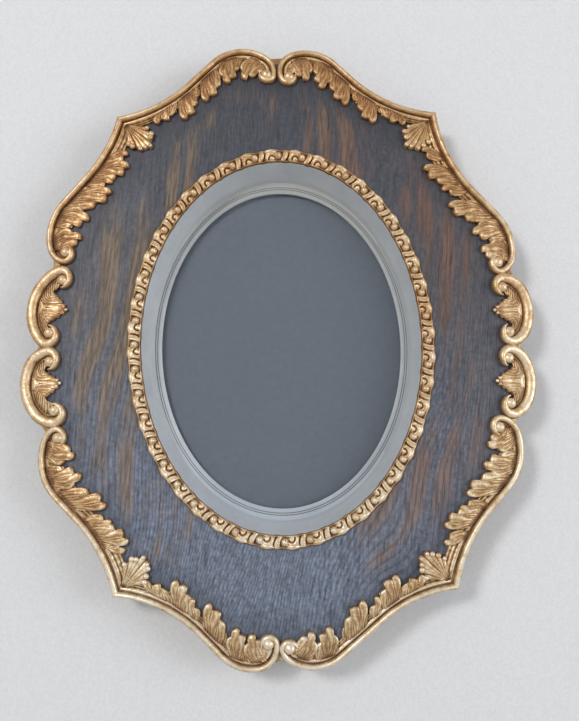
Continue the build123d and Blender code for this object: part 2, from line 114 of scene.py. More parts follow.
# The scrolls round the panel, anticlockwise, and which way each runs
EDGE_COURSE = {
    "top_right_scroll": 1, "top_left_scroll": -1, "upper_left_shoulder": 1,
    "left_upper_c_scroll": 1, "left_lower_c_scroll": 1, "lower_left_shoulder": -1,
    "bottom_left_scroll": 1, "bottom_right_scroll": -1, "lower_right_shoulder": 1,
    "right_lower_c_scroll": -1, "right_upper_c_scroll": -1, "upper_right_shoulder": -1,
}

# Rails in section, as shares of their width: bead, groove, rise of the bead and of the fillet
LONG_RAIL = (0.55, 0.1, 0.5, 0.34)
SHOULDER_RAIL = (0.6, 0.18, 0.5, 0.26)
C_RAIL = (0.8, 0.1, 0.46, 0.24)
RAIL_FOOT = 0.12
RAIL_SINK = -0.5
GROOVE_DROP = 0.03
BEAD_POINTS = 15

# The acanthus leaves of each kind of scroll: how far each leans towards the corner, and its
# lobes' tips: how far along the rail from the leaf's root (positive towards the volute) and
# how far in from the rail, in millimetres
LONG_LEAVES = (
    (1.3, (-18.5, 3.4), (-11.8, 5.8), (-5.0, 5.2)),
    (0.6, (-14.2, 11.3), (-7.4, 12.4), (-1.6, 9.0)),
    (0.8, (-9.0, 7.6), (-2.6, 5.6)),
    (0.8, (-19.2, 11.0), (-12.0, 12.6), (-4.6, 10.2)),
    (0.4, (-10.4, 9.6), (-8.4, 15.8), (-3.2, 13.6), (1.4, 8.8)),
    (0.3, (-5.0, 9.6), (-0.8, 15.8), (3.8, 12.4)),
    (0.3, (-3.0, 6.2), (1.4, 5.4)),
)
SHOULDER_LEAVES = (
    (0.9, (-10.6, 8.4), (-4.6, 8.4)),
    (0.8, (-19.2, 11.6), (-12.6, 13.0), (-5.8, 10.6)),
    (0.8, (-13.4, 9.8), (-6.8, 8.6)),
    (0.9, (-23.0, 13.8), (-16.4, 15.8), (-7.4, 13.0)),
    (0.3, (-10.8, 11.6), (-7.2, 17.8), (-1.2, 14.6), (2.6, 8.4)),
    (0.2, (-4.0, 9.8), (0.8, 16.6), (5.4, 13.8)),
    (0.3, (-3.0, 6.2), (1.4, 5.4)),
)

# Where each leaf's root stands on its rail, as shares of the length before the volute, for
# the scrolls in their order above
ROOT_SHARES = (
    (0.285, 0.36, 0.4, 0.53, 0.67, 0.81, 0.93),
    (0.26, 0.345, 0.39, 0.52, 0.62, 0.76, 0.9),
    (0.265, 0.335, 0.4, 0.54, 0.7, 0.79, 0.9),
    (0.275, 0.34, 0.42, 0.565, 0.745, 0.865, 0.96),
    (0.25, 0.36, 0.43, 0.56, 0.69, 0.82, 0.93),
    (0.24, 0.375, 0.455, 0.61, 0.735, 0.84, 0.95),
    (0.255, 0.34, 0.41, 0.565, 0.715, 0.845, 0.95),
    (0.25, 0.37, 0.43, 0.595, 0.715, 0.83, 0.95),
)
LEAF_BEND = (-0.15, 0.04)
LEAF_TILT = 0.14
LEAF_RISE = 3.2
EVERY_OTHER_RISE = 0.25
BROAD_RISE = 0.3
LEAF_END = 1.0
LEAF_HEM = 0.5
LEAF_ROOT = 1.2
LOBE_HALF = 2.9
LOBE_FLANK = 0.5
LOBE_SWELL = 0.6
LOBE_COLUMNS = 26
VALLEY = 0.93
UNDER_SHARE = 0.66
UNDER_SHIFT = 3.0
UNDER_RISE = 1.9
STRAND_DEPTH = 0.3
CARVING_DROP = 1.6
CARVING_EDGE = 0.9
RAY_REACH = np.linspace(0, 1, 17) ** 0.9

# Balls: how far round they go in degrees, their rings and sides
BALL_SPAN = (-30, 88)
BALL_RINGS = 12
BALL_SIDES = 28
BALL_SIT = 0.45
BALL_LIFT = 0.4
KNOB_SIDES = 16

# Ridges beside a rail, which the leaves grow from: widths from the corner to the volute,
# and their section, as share across, rise in millimetres and how deep in shade
LONG_WEB = (3.2, 2.2)
SHOULDER_WEB = (6.4, 3.4)
C_WEB = (2.2, 1.6)
WEB_START = 4.5
WEB_TUCK = 1.0
WEB_LAP = 1.4
WEB_FADE_IN = (-0.2, 5.0)
WEB_FADE_OUT = (1.0, -8.0)
WEB_PAST_VOLUTE = 3.0
C_WEB_PAST_VOLUTE = 6.0
WEB_MOTTLE = 1.7
WEB_SECTION = (
    (0.0, -1.6, 1.0), (0.0, 0.8, 0.7), (0.08, 1.5, 0.2), (0.18, 1.9, 0.05), (0.28, 1.5, 0.35),
    (0.35, 0.9, 0.9), (0.43, 1.4, 0.3), (0.54, 1.9, 0.1), (0.65, 1.4, 0.4),
    (0.71, 0.9, 0.85), (0.79, 1.3, 0.3), (0.9, 1.4, 0.15), (1.0, 0.5, 0.8), (1.0, -1.6, 1.0),
)

# The leaf inside a C scroll. Tips of one half from the volute to the middle: reach in from
# the belly and distance along it, for a volute that stands FAN_SPAN along from the belly
FAN_SPAN = 15.5
FAN_TIPS = ((13.4, 11.6), (15.4, 9.0), (18.2, 6.8), (21.2, 4.6), (24.2, 2.0))
FAN_END = (24.0, -0.4)
FAN_HEART = (8.0, 2.0)
FAN_VALLEY = 0.95
FAN_LOBE_HALF = 1.3
FAN_COLUMNS = 22
FAN_ROOT = 0.12
FAN_ROOTS = 12
FAN_BOW = 1.5
FAN_RISE = 3.2
FAN_GROOVE = 0.42
THROAT_ON = 5.0
THROAT_SHARE = 0.5
# Knobs at its middle: reach, distance along, radius
FAN_KNOBS = ((22.6, 1.8, 1.05), (24.6, 0.0, 1.15), (22.6, -1.8, 1.05))
KNOB_LIFT = 0.9
# The smooth pad between the two halves: tip, edges, heart and half width of its root
PAD_TIP = (12.0, 0.0)
PAD_EDGES = ((8.0, -4.5), (8.0, 4.5))
PAD_HEART = (6.0, 0.0)
PAD_ROOT = 5.0
PAD_LOBE_HALF = 1.0
PAD_COLUMNS = 30
PAD_RISE = 2.9
PAD_GROOVE = 0.1

# Tips of a corner palmette: degrees off its middle line and share of its reach
PALMETTE_TIPS = (
    (-33, 0.64), (-24, 0.77), (-15, 0.88), (-6, 0.98),
    (3, 0.98), (12, 0.91), (21, 0.81), (31, 0.68),
)
PALMETTE_WANDER = 1.6
PALMETTE_VALLEY = 0.97
PALMETTE_LOBE_HALF = 1.5
PALMETTE_COLUMNS = 14
PALMETTE_RISE = 3.2
PALMETTE_NOTCH = 0.5
PALMETTE_KNOB = 1.6
PALMETTE_KNOB_LIFT = 1.5
# Corner palmettes: root, heading of the middle line, reach
PALMETTES = {
    "top_left_palmette": (-98.0, 145.2, -46, 24.6),
    "top_right_palmette": (98.4, 145.4, 235, 26.2),
    "bottom_left_palmette": (-97.8, -145.6, 50, 23.8),
    "bottom_right_palmette": (97.6, -145.8, 136, 23.8),
}

# Twisted rope: units round the oval, clockwise, each with a bead and a curled leaf
ROPE_UNITS = 44
ROPE_PHASE = 163.4
ROPE_STRIPS = ("rope_upper_right", "rope_upper_left", "rope_lower_left", "rope_lower_right")
ROPE_COURSE = 7201
ROPE_STEPS = 560
ROPE_COLUMNS = 25
ROPE_END_GAP = 0.1
ROPE_BASE = 0.8
ROPE_BOW = 0.07
ROPE_RIM = 2.1
# Where a unit is widest, and over what length, and its half widths outside and inside:
# plain, more at the leaf, more at the bead
ROPE_LEAF = (8.9, 2.8)
ROPE_BEAD = (2.3, 1.7)
ROPE_OUTSIDE = (4.2, 1.3, 0.4)
ROPE_INSIDE = (3.8, 0.0, 0.3)
ROPE_SHADE = (0.2, 2.3)
# Bosses of a unit: along, across, half length, half width, height, lean
ROPE_BOSSES = (
    (2.2, 0.4, 2.0, 5.0, 2.9, 0.3),
    (8.0, 0.3, 3.9, 4.4, 2.5, 0.1),
    (8.6, 3.3, 4.2, 2.2, 3.2, 0.12),
    (5.4, 0.2, 1.0, 3.2, 2.9, 0.2),
    (9.0, -3.2, 4.4, 0.8, 2.3, 0.0),
    (13.0, 0.3, 2.2, 2.6, 3.9, 0.0),
)
BEAD_RIBS = 1.45
RIB_DEPTH = 0.7
# The curl cut into each leaf: along, across, radius, width, depth, and the knob inside it
ROPE_CURL = (8.7, -1.3, 1.8, 0.5, 1.8)
ROPE_CURL_OPENS = (-1.2, 0.6)
ROPE_CURL_KNOB = (8.9, -1.6, 1.1, 0.8, 2.5, 0.0)

# The liner: points round it, its lip's rounding (in, down), its fine lines from the sight
# edge with their half widths above and below, and its slope: share of width, share of rise
LINER_POINTS = 360
LIP_ROUND = (0.25, 0.15)
LINER_LINES = (2.7, 4.0)
LINE_DEPTH = 0.35
LINE_TOP = 0.3
LINE_BED = 0.12
LINER_DROP = 0.02
LINER_SLOPE = ((0.46, 0.0), (0.52, 0.05), (0.64, 0.26), (0.76, 0.5), (0.88, 0.75), (1.0, 1.0))

# Angles, in degrees, over which an edge stays sharp
CARVING_CREASE = 40
JOINERY_CREASE = 50

# Finishes and painted light: where they change across the frame, in metres from its middle
# Gilding: painted shade and warm light towards the top, painted cool light towards the bottom
GOLD_SHADE_ABOVE = (-0.18, 0.18)
GOLD_WARM_LIGHT_ABOVE = (-0.16, 0.16)
GOLD_COOL_LIGHT_BELOW = (-0.17, -0.04)
# Silver: painted cool light below and painted light at the left
SILVER_COOL_LIGHT_BELOW = (-0.1, 0.1)
SILVER_LIGHT_LEFT = (-0.085, -0.04)
# Wood: painted light and sheen, paler and bluer below and darker at the top
SLATE_LIGHT_BELOW = (-0.17, 0.17)
SLATE_WARMS = (0.03, 0.12)
BROWN_REDDENS = (-0.08, 0.08)
BROWN_SHEEN_BELOW = (-0.15, 0.0)
BROWN_ENDS = (-0.15, -0.06)
BROWN_TOP = (0.11, 0.14)
BROWN_MIDDLE = (0.04, 0.08)
BROWN_SIDES = (0.05, 0.09)
GROOVES_FADE = (-0.12, 0.05)
# The wood's rings and grooves: their pitch, and what bends them, in metres
RING_PITCH = 0.0125
GROOVE_PITCH = 0.0026
GRAIN_BOW = 0.5
GRAIN_SLANT = -0.17
GRAIN_DRIFT = 0.11
GRAIN_WAVER = 0.0022
# Depths of the finest texture, in metres
GOLD_TEXTURE = 0.0008
SILVER_TEXTURE = 0.0006
FINE_TEXTURE = 0.0004

# Floor, wall, lamps and air round the frame, in metres
FLOOR_LEVEL = -0.36
FLOOR_SIDE = 2.2
FLOOR_ENDS = (-2.6, 1.8)
WALL_BACK = 0.0006
WALL_SIDE = 1.6
WALL_TOP = 1.4
# Each lamp's place, size, power and colour
LAMPS = {
    "key": ((-1.2, -2.0, 0.75), 0.5, 29, (1.0, 0.98, 0.95)),
    "fill": ((1.8, -1.2, -0.1), 1.2, 27, (0.95, 0.97, 1.0)),
    "behind": ((0.6, 1.4, 0.7), 1.2, 12, (1.0, 1.0, 1.0)),
}
# The air's colour and strength, as it lights and as it is seen
AIR = (((0.93, 0.95, 1.0, 1), 0.5), ((0.84, 0.85, 0.86, 1), 1.0))

# The camera: where its eye stands in the frame, its turn in radians and its view
EYE = Vector((-0.00146, -0.49117, -0.07331))
CAMERA_TURN = (-0.1335, 0.0132, 0.0193)
CAMERA_NEAR = 0.01
CAMERA_FAR = 20
FOCAL_PIXELS = 760
PICTURE_HEIGHT = 721
SENSOR = 36.0


def crown(x, y):
    """Height of the panel's front."""
    ring = np.hypot(np.asarray(x) / ROPE_OUTER[0], np.asarray(y) / ROPE_OUTER[1])
    out = np.maximum(ring - 1, 0) / (EDGE_RING - 1)
    return CROWN - CROWN_RISE * out**2


def skin(rows, shade, loop=False):
    """Closed skin over rows of closed sections, with how deep each point lies in shade."""
    count, around = rows.shape[:2]
    row = np.arange(count if loop else count - 1)[:, None] * around
    after = (row + around) % (count * around)
    place = np.arange(around)
    aside = (place + 1) % around
    quads = np.stack([row + place, row + aside, after + aside, after + place], -1)
    faces = quads.reshape(-1, 4).tolist()
    if not loop:
        faces.append(list(range(around))[::-1])
        faces.append(list(range((count - 1) * around, count * around)))
    return rows.reshape(-1, 3), np.broadcast_to(shade, rows.shape[:2]).reshape(-1), faces


def volume(points, faces):
    """Signed volume inside a closed skin, times six, to tell which way it faces."""
    a, b, c, d = points[[face for face in faces if len(face) == 4]].transpose(1, 0, 2)
    total = np.sum(a * (np.cross(b, c) + np.cross(c, d)))
    for face in faces:
        if len(face) != 4:
            ring = points[face]
            total += np.sum(ring[0] * np.cross(ring[1:-1], ring[2:]))
    return total


def placed(name, data):
    """A new object in the scene."""
    made = bpy.data.objects.new(name, data)
    bpy.context.scene.collection.objects.link(made)
    return made


def piece(name, node, skins, materials, crease=CARVING_CREASE):
    """One mesh from closed skins, turned outwards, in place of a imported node."""
    faces = []
    start = 0
    for points, _, own_faces in skins:
        way = 1 if volume(points, own_faces) > 0 else -1
        faces += [[start + k for k in face[::way]] for face in own_faces]
        start += len(points)
    x, y, z = np.concatenate([points for points, _, _ in skins]).T * MM
    mesh = bpy.data.meshes.new(name)
    mesh.from_pydata(np.stack([x, -z, y], -1).tolist(), [], faces)
    hollow = mesh.attributes.new("hollow", "FLOAT", "POINT")
    hollow.data.foreach_set("value", np.concatenate([depth for _, depth, _ in skins]).astype(np.float32))
    for material in materials:
        mesh.materials.append(material)
    mesh.shade_smooth()
    mesh.set_sharp_from_angle(angle=radians(crease))
    mesh.validate()
    made = placed(name, mesh)
    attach(made, "frame")
    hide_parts(node)
    return made


def gilded(node, skins, gilding, side=1, half=1):
    """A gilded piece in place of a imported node, mirrored to where it belongs."""
    skins = [(flipped(points, side, half), *rest) for points, *rest in skins]
    piece(node + "_carved", node, skins, [gilding])


def walk(start, heading, steps):
    """Path along straights (length, 0) and tangent arcs (radius, sweep in degrees)."""
    rows = [(*start, radians(heading), 0.0)]
    for size, sweep in steps:
        x, y, turn, gone = rows[-1]
        length = size * abs(radians(sweep)) if sweep else size
        bend = radians(sweep) / length
        travel = np.linspace(0, length, max(ceil(length / SPACING), 2) + 1)[1:]
        turned = turn + bend * travel
        if sweep:
            x_new = x + (np.sin(turned) - sin(turn)) / bend
            y_new = y - (np.cos(turned) - cos(turn)) / bend
        else:
            x_new = x + travel * cos(turn)
            y_new = y + travel * sin(turn)
        rows += np.stack([x_new, y_new, turned, gone + travel], -1).tolist()
    return np.array(rows)


def at(path, travelled):
    """Place and heading on a path."""
    return [np.interp(travelled, path[:, 3], path[:, k]) for k in range(3)]


def inwards(x, y, turn, way, across):
    """Place at a distance from a path, to its left for a way of 1 and its right for -1."""
    normal = turn + way * pi / 2
    return x + across * np.cos(normal), y + across * np.sin(normal)


def flipped(points, side, half=1):
    """Points drawn for the upper right, mirrored to where they belong."""
    return points * (side, half, 1)[:points.shape[-1]]


def smooth_step(low, high, value):
    """Soft ramp from 0 to 1."""
    share = np.clip((value - low) / (high - low), 0, 1)
    return share * share * (3 - 2 * share)


def corner_course(name):
    """Side, half, bending way, heading and steps of a scroll that starts at a corner."""
    long = name in LONG_SCROLLS
    side, half, heading, concave, run, *sweeps = (LONG_SCROLLS if long else SHOULDER_SCROLLS)[name]
    way = 1 if long else -1
    hollow, *radii = LONG_RADII if long else SHOULDER_RADII
    steps = [(hollow, -way * concave), (run, 0)]
    steps += [(radius, way * sweep) for radius, sweep in zip(radii, sweeps)]
    return side, half, way, heading, steps


def c_arms(name):
    """Both arms of a C scroll from its belly: bending way and steps."""
    up, down = C_SCROLLS[name][-2:]
    for way, sweeps in ((1, up), (-1, down)):
        yield way, [(radius, way * sweep) for radius, sweep in zip(C_RADII, sweeps)]


def profile(bead, groove, bead_rise, fillet_rise):
    """Rail in section from the outer edge inwards: share across, height, how deep in shade."""
    swing = np.linspace(0, pi, BEAD_POINTS)
    hump = np.sin(swing)
    chord = (1 - np.cos(swing)) / 2
    start = bead + groove
    bead_up = RAIL_FOOT + bead_rise * hump**0.85
    fillet_up = RAIL_FOOT + fillet_rise * hump**0.7
    rounded = np.stack([bead * chord, bead_up, 0.04 + 0.6 * (1 - hump) ** 1.3], -1)
    fillet = np.stack([start + (1 - start) * chord, fillet_up, 0.7 * (1 - hump) ** 2], -1)
    floor = [(bead + groove / 2, RAIL_FOOT - GROOVE_DROP, 0.55)]
    return np.concatenate([[(0, RAIL_SINK, 1)], rounded, floor, fillet[::2], [(1, RAIL_SINK, 1)]])


def rail(path, way, volute_from, curl_from, kind, wide, outward, mitre=None):
    """Rail along a path, standing on the crown; only its bead goes on into the volute."""
    x, y, turn, gone = path.T
    share, rise, shade = profile(*kind).T
    into = smooth_step(volute_from, curl_from, gone)[:, None]
    curled = smooth_step(curl_from, gone[-1], gone)[:, None]
    narrow = VOLUTE_WIDTH + (CURL_WIDTH - VOLUTE_WIDTH) * curled
    outward = outward[:, None]
    full = share * (wide + outward)
    slim = np.minimum(share / kind[0], 1) * (narrow + outward)
    across = full + (slim - full) * into - outward
    sunk = np.where(share > kind[0], np.minimum(rise, RAIL_FOOT), rise)
    tall = wide * (rise + (sunk - rise) * into) * (1 - 0.1 * curled)
    px, py = inwards(x[:, None], y[:, None], turn[:, None], way, across)
    if mitre is not None:
        slant = radians(mitre) - (turn[0] + way * pi / 2)
        slide = -way * tan(slant) * np.clip(1 - gone / (2 * RAIL_WIDTH), 0, 1)
        px += across * (np.cos(turn) * slide)[:, None]
        py += across * (np.sin(turn) * slide)[:, None]
    pz = crown(x, y)[:, None] + tall
    pz = np.where(rise > 0, np.maximum(pz, crown(px, py) + RAIL_FOOT), pz)
    return skin(np.stack([px, py, pz], -1), shade[None])


def ball(x, y, radius, around=BALL_SIDES, lift=BALL_LIFT):
    """Domed ball that ends a volute or stands at the tip of a lobe."""
    rise = np.radians(np.linspace(*BALL_SPAN, BALL_RINGS))[:, None]
    round_it = np.linspace(0, 2 * pi, around, endpoint=False)[None, :]
    px = x + radius * np.cos(rise) * np.cos(round_it)
    py = y + radius * np.cos(rise) * np.sin(round_it)
    pz = crown(x, y) + lift + radius * (BALL_SIT + np.sin(rise)) + 0 * px
    pz[0] = crown(x, y) - CARVING_DROP
    shade = np.clip(1 - (np.degrees(rise) + 10) / 45, 0, 1)
    return skin(np.stack([px, py, pz], -1), shade)


def curve(a, b, c, d, steps):
    """Smooth curve from the first to the last of four points."""
    t = np.linspace(0, 1, steps + 1)[:-1, None]
    return (1 - t) ** 3 * a + 3 * t * (1 - t) ** 2 * b + 3 * t**2 * (1 - t) * c + t**3 * d


def scallops(tips, start, end, heart, depth, columns, half):
    """Edge of a leaf through its lobes' blunt tips, with valleys drawn in to its heart."""
    tips = [np.array(tip, float) for tip in tips]
    heart = np.array(heart, float)
    valleys = [np.array(start, float)]
    for first, second in zip(tips, tips[1:]):
        valleys.append((first + second) / 2 * depth + heart * (1 - depth))
    valleys.append(np.array(end, float))
    rim = []
    for tip, before, after in zip(tips, valleys, valleys[1:]):
        ray = (tip - heart) / np.hypot(*(tip - heart))
        over = np.array((-ray[1], ray[0]))
        over = over * (half if over @ (after - before) > 0 else -half)
        rising = before + LOBE_FLANK * (tip - before) - LOBE_SWELL * over
        falling = after + LOBE_FLANK * (tip - after) + LOBE_SWELL * over
        rim.append(curve(before, rising, tip - over, tip, columns // 2))
        rim.append(curve(tip, tip + over, falling, after, columns // 2))
    rim.append(valleys[-1][None])
    share = np.linspace(0, 1, columns + 1)[:-1]
    return np.concatenate(rim), np.concatenate([np.tile(share, len(tips)), [1.0]])


def rays(*lines):
    """Curves from the first line of points to the last one, drawn towards those between."""
    reach = RAY_REACH[None, :, None]
    last = len(lines) - 1
    parts = enumerate(lines)
    return sum(comb(last, k) * (1 - reach) ** (last - k) * reach**k * line[:, None] for k, line in parts)


def carving(place, share, rise, strands=3, notch=0.2, tilt=0.0, knob=0.15, groove=STRAND_DEPTH, inner_shade=0.2):
    """Carved leaf over its rays: rounded lobes with fine strands, painted shade in its valleys, strands
    and root and at its steep rim, darker away from its edge.
    """
    reach = RAY_REACH[None, :]
    count = len(share)
    across = np.linspace(-1, 1, count)[:, None]
    lobe = (1 - np.abs(2 * share - 1) ** 2.2)[:, None]
    wavy = share[:, None] + 0.09 * np.sin(7 * reach + 4 * across)
    strand = 0.5 - 0.5 * np.cos(2 * pi * strands * wavy)
    opened = smooth_step(0.1, 0.85, reach)
    high = rise * (0.7 + 0.3 * smooth_step(0, 0.4, reach) - 0.15 * smooth_step(0.5, 0.85, reach))
    high = high * (1 - 0.15 * across**2 - tilt * across) - notch * (1 - lobe) * opened
    high = high - groove * (1 - strand) * (1 - 0.5 * opened)
    high = high + knob * lobe * np.exp(-(((reach - 0.84) / 0.1) ** 2))
    edge = np.sqrt(np.clip(1 - 0.95 * (np.clip(reach - 0.85, 0, 1) / 0.15) ** 2, 0, 1))
    sides = np.clip(np.minimum(np.arange(count), np.arange(count)[::-1]) / 4, 0, 1)
    edge = edge * (0.3 + 0.7 * np.sqrt(sides))[:, None]
    ground = crown(place[..., 0], place[..., 1])
    height = ground + CARVING_EDGE * (1 - edge) + high * edge
    # Painted shade values: valleys, strand grooves, inner part, root and steep rim
    depth = 0.5 * (1 - lobe) ** 1.6 * opened + 1.3 * groove * (1 - strand) * (1 - 0.3 * opened)
    depth = depth + inner_shade * (1 - smooth_step(0.6, 0.95, reach))
    depth = depth + 0.55 * (1 - smooth_step(0, 0.16, reach)) + 0.7 * (1 - edge)
    rows = np.concatenate([place, height[..., None]], -1)
    feet = rows[:, (0, -1)]
    feet[..., 2] = ground[:, (0, -1)] - CARVING_DROP
    rows = np.concatenate([feet[:, :1], rows, feet[:, 1:]], 1)
    dark = np.ones((count, 1))
    return skin(rows, np.clip(np.concatenate([dark, depth, dark], 1), 0, 1))


def leaf(path, way, travelled, lobes, lean, rise):
    """An acanthus leaf on a broad root along the rail, its tips leaning to the corner."""
    x, y, turn = at(path, travelled)
    axes = np.array(((cos(turn), sin(turn)), inwards(0, 0, turn, way, 1)))
    start = lobes[0][0] + lean * lobes[0][1]
    end = lobes[-1][0] + lean * lobes[-1][1] + LEAF_END
    hem = ((start, -LEAF_HEM), (end, -LEAF_HEM), ((start + end) / 2, 0.0))
    rim, share = scallops(lobes, *hem, VALLEY, LOBE_COLUMNS, LOBE_HALF)
    root = np.stack([np.linspace(start, end, len(rim)), np.full(len(rim), -LEAF_ROOT)], -1)
    length = np.hypot(*(rim - root).T)[:, None]
    bend = (root + rim) / 2 + length * np.array(LEAF_BEND)
    foot = np.array(inwards(x, y, turn, way, RAIL_WIDTH))
    return carving(rays(*(foot + flat @ axes for flat in (root, bend, rim))), share, rise, tilt=LEAF_TILT)


def web(path, way, start, until, widths, foot):
    """Fine ridges beside a rail, which its leaves grow from."""
    x, y, turn, gone = path[(path[:, 3] >= start) & (path[:, 3] < until)].T[..., None]
    fade_in = [start + off for off in WEB_FADE_IN]
    fade_out = [until + off for off in WEB_FADE_OUT]
    wide = np.interp(gone, (0, until), widths) * smooth_step(*fade_out, gone)
    wide = wide * smooth_step(*fade_in, gone) if start else wide
    share, rise, shade = np.array(WEB_SECTION).T
    px, py = inwards(x, y, turn, way, foot - WEB_TUCK + share * (wide + WEB_LAP))
    shade = shade + 0.12 * np.sin(WEB_MOTTLE * gone)
    return skin(np.stack([px, py, crown(px, py) + rise], -1), np.clip(shade, 0, 1))


def corner_scroll(name, roots, gilding):
    """A scroll that starts at a corner: rail, eye and leaves in one casting."""
    side, half, way, heading, steps = corner_course(name)
    long = name in LONG_SCROLLS
    path = walk(CORNER, heading, steps + [(EYE_RADIUS, way * CURL_SWEEP)])
    curl_from = path[-1, 3] - EYE_RADIUS * radians(CURL_SWEEP)
    last_radius, last_sweep = steps[-1]
    volute_from = curl_from - last_radius * radians(abs(last_sweep))
    outward = np.full(len(path), RAIL_OUT)
    kind = LONG_RAIL if long else SHOULDER_RAIL
    skins = [rail(path, way, volute_from, curl_from, kind, RAIL_WIDTH, outward, INTO_CORNER)]
    skins.append(ball(*inwards(*path[-1, :3], way, EYE_RADIUS), BALL))
    widths = LONG_WEB if long else SHOULDER_WEB
    skins.append(web(path, way, WEB_START, volute_from + WEB_PAST_VOLUTE, widths, RAIL_WIDTH))
    leaves = zip(roots, LONG_LEAVES if long else SHOULDER_LEAVES)
    for number, (share, (lean, *lobes)) in enumerate(leaves):
        place = share * volute_from
        broad = len(lobes) > 2
        rise = LEAF_RISE + EVERY_OTHER_RISE * (number % 2) + BROAD_RISE * broad
        skins.append(leaf(path, way, place, lobes, lean, rise))
        if broad:
            under = np.array(lobes) * UNDER_SHARE
            skins.append(leaf(path, way, place + UNDER_SHIFT, under, lean, UNDER_RISE))
    gilded(name, skins, gilding, side, half)


def c_scroll(name, gilding):
    """A C scroll: two arms from the belly, two eyes and the fan of lobes between."""
    side, *belly, lean = C_SCROLLS[name][:4]
    belly = np.array(belly)
    skins = []
    for way, steps in c_arms(name):
        path = walk(belly, way * 90 + lean, steps + [(C_EYE_RADIUS, way * CURL_SWEEP)])
        curl_from = path[-1, 3] - C_EYE_RADIUS * radians(CURL_SWEEP)
        last_radius, last_sweep = steps[-1]
        volute_from = curl_from - last_radius * radians(abs(last_sweep))
        outward = C_SWELL * np.clip(1 - (path[:, 3] / curl_from) ** 2, 0, 1)
        eye = inwards(*path[-1, :3], way, C_EYE_RADIUS)
        skins += [
            rail(path, way, volute_from, curl_from, C_RAIL, C_WIDTH, outward),
            ball(*eye, C_BALL),
            web(path, way, 0.0, volute_from + C_WEB_PAST_VOLUTE, C_WEB, C_WIDTH),
            fan(path, way, belly, fan_axes(lean, way), np.array(eye), volute_from),
        ]
    skins.append(fan_middle(belly, fan_axes(lean)))
    for reach, off, radius in FAN_KNOBS:
        skins.append(ball(*(belly + (reach, off) @ fan_axes(lean, -1)), radius, KNOB_SIDES, KNOB_LIFT))
    gilded(name, skins, gilding, side)


def fan_axes(lean, way=1):
    """Directions in from the belly of a C scroll and along it."""
    lean = radians(lean)
    return np.array(((-cos(lean), -sin(lean)), (-way * sin(lean), way * cos(lean))))


def fan(path, way, belly, axes, eye, volute_from):
    """Half the leaf inside a C scroll: strands run from beside the volute along the rail, then in."""
    beside = []
    for travelled in np.linspace(volute_from + THROAT_ON, FAN_ROOT * volute_from, FAN_ROOTS):
        beside.append(axes @ (np.array(inwards(*at(path, travelled), way, C_WIDTH)) - belly))
    eye = axes @ (eye - belly)
    throat = eye + THROAT_SHARE * (beside[0] - eye)
    beside = np.array([throat, *beside])
    tips = [(reach, off * eye[1] / FAN_SPAN) for reach, off in FAN_TIPS]
    rim, share = scallops(tips, throat, FAN_END, FAN_HEART, FAN_VALLEY, FAN_COLUMNS, FAN_LOBE_HALF)
    gone = np.concatenate([[0], np.cumsum(np.hypot(*np.diff(beside, axis=0).T))])
    spread = np.linspace(0, gone[-1], len(rim))
    root = np.stack([np.interp(spread, gone, beside[:, k]) for k in range(2)], -1)
    bow = FAN_BOW * spread / gone[-1]
    near = np.stack([root[:, 0], 0.2 * root[:, 1] + 0.8 * rim[:, 1]], -1)
    far = np.stack([0.25 * rim[:, 0] + 0.75 * root[:, 0], 0.6 * rim[:, 1] - bow], -1)
    lines = [belly + flat @ axes for flat in (root, near, far, rim)]
    return carving(rays(*lines), share, FAN_RISE, 2, groove=FAN_GROOVE, inner_shade=0.1)


def fan_middle(belly, axes):
    """Smooth ground by the belly, where the two halves of a C scroll's leaf part."""
    rim, share = scallops([PAD_TIP], *PAD_EDGES, PAD_HEART, VALLEY, PAD_COLUMNS, PAD_LOBE_HALF)
    root = np.stack([np.full(len(rim), 0.9 * C_WIDTH), np.linspace(-PAD_ROOT, PAD_ROOT, len(rim))], -1)
    place = rays(belly + root @ axes, belly + rim @ axes)
    return carving(place, share, PAD_RISE, 1, 0.0, groove=PAD_GROOVE, inner_shade=0.0)


def palmette(name, gilding):
    """Shell-like fan in a corner, each lobe ending in a small knob."""
    x, y, heading, reach = PALMETTES[name]
    place = np.array((x, y))
    tips = []
    for number, (off, share) in enumerate(PALMETTE_TIPS):
        angle = radians(heading + off + PALMETTE_WANDER * sin(4 * number + y))
        share *= 1 + 0.04 * sin(3 * number + x)
        tips.append(reach * share * np.array((cos(angle), sin(angle))))
    ends = (0.3 * tips[0], 0.3 * tips[-1])
    rim, share = scallops(tips, *ends, (0, 0), PALMETTE_VALLEY, PALMETTE_COLUMNS, PALMETTE_LOBE_HALF)
    spread = np.linspace(0, 1, len(rim))[:, None]
    root = 0.1 * (tips[0] + spread * (tips[-1] - tips[0]))
    middle = np.array((cos(radians(heading)), sin(radians(heading))))
    bend = 0.42 * rim + 0.08 * reach * middle
    skins = [carving(rays(root, bend, rim) + place, share, PALMETTE_RISE, 1, PALMETTE_NOTCH, knob=0.0)]
    for number, tip in enumerate(tips):
        radius = PALMETTE_KNOB * (1 + 0.18 * sin(5 * number + x))
        skins.append(ball(*(place + 0.93 * tip), radius, KNOB_SIDES, PALMETTE_KNOB_LIFT))
    gilded(name, skins, gilding)


def rope_course():
    """Angles round the rope's middle oval, and the length gone round to each."""
    angles = np.linspace(0, 2 * pi, ROPE_COURSE)
    ring = np.stack([ROPE_MIDDLE[0] * np.cos(angles), ROPE_MIDDLE[1] * np.sin(angles)], -1)
    return angles, np.concatenate([[0], np.cumsum(np.hypot(*np.diff(ring, axis=0).T))])


def boss(along, across, place, off, long, wide, tall, lean):
    """Height of one rounded boss of the rope."""
    u = (along - place - lean * (across - off)) / long
    v = (across - off) / wide
    return tall * np.clip(1 - np.abs(u) ** 2.4 - np.abs(v) ** 2.4, 0, 1) ** 0.6


